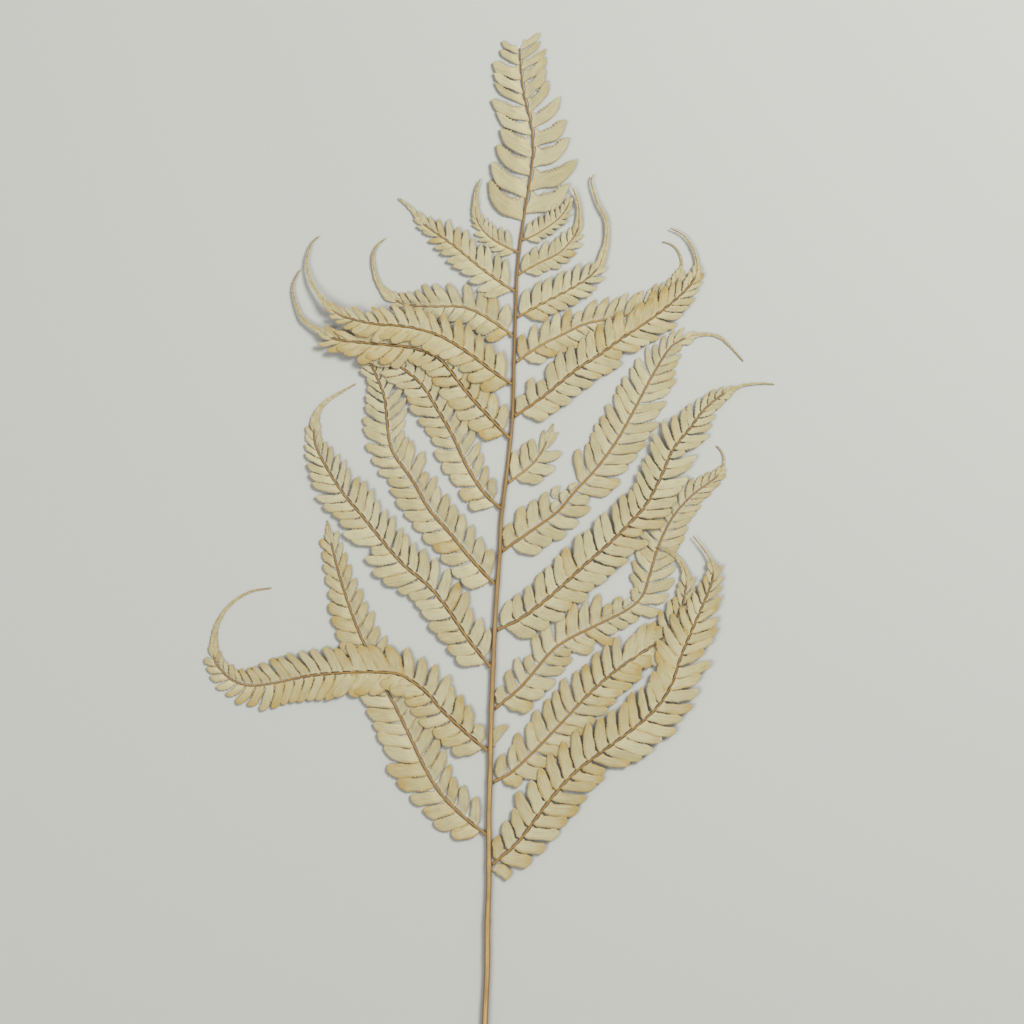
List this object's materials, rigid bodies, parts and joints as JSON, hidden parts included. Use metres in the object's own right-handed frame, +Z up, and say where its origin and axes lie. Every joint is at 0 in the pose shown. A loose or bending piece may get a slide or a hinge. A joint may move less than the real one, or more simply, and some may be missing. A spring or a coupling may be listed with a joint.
{
  "type": "dried fern frond",
  "caption": "Pressed, dried fern frond with a cut stem and leafy side branches cut into leaflets, lying flat for display.",
  "frame": {"origin": "on the surface the frond lies on, under the middle of its outline", "axes": "+Y along the stem towards the frond's tip, +Z up out of the surface, +X to the right seen from above"},
  "size_m": [0.3422, 0.6081, 0.0075],
  "materials": {
    "stem": "satin",
    "leaf": "matte"
  },
  "bodies": {
    "root": {"stem": "stem", "pinna_left_01": "leaf", "pinna_left_02": "leaf", "pinna_left_03": "leaf", "pinna_left_04": "leaf", "pinna_left_05": "leaf", "pinna_left_06": "leaf", "pinna_left_07": "leaf", "pinna_left_08": "leaf", "pinna_left_09": "leaf", "pinna_left_10": "leaf", "pinna_right_01": "leaf", "pinna_right_02": "leaf", "pinna_right_03": "leaf", "pinna_right_04": "leaf", "pinna_right_05": "leaf", "pinna_right_06": "leaf", "pinna_right_07": "leaf", "pinna_right_08": "leaf", "pinna_right_09": "leaf", "pinna_right_10": "leaf", "pinna_right_11": "leaf"}
  },
  "joints": []
}
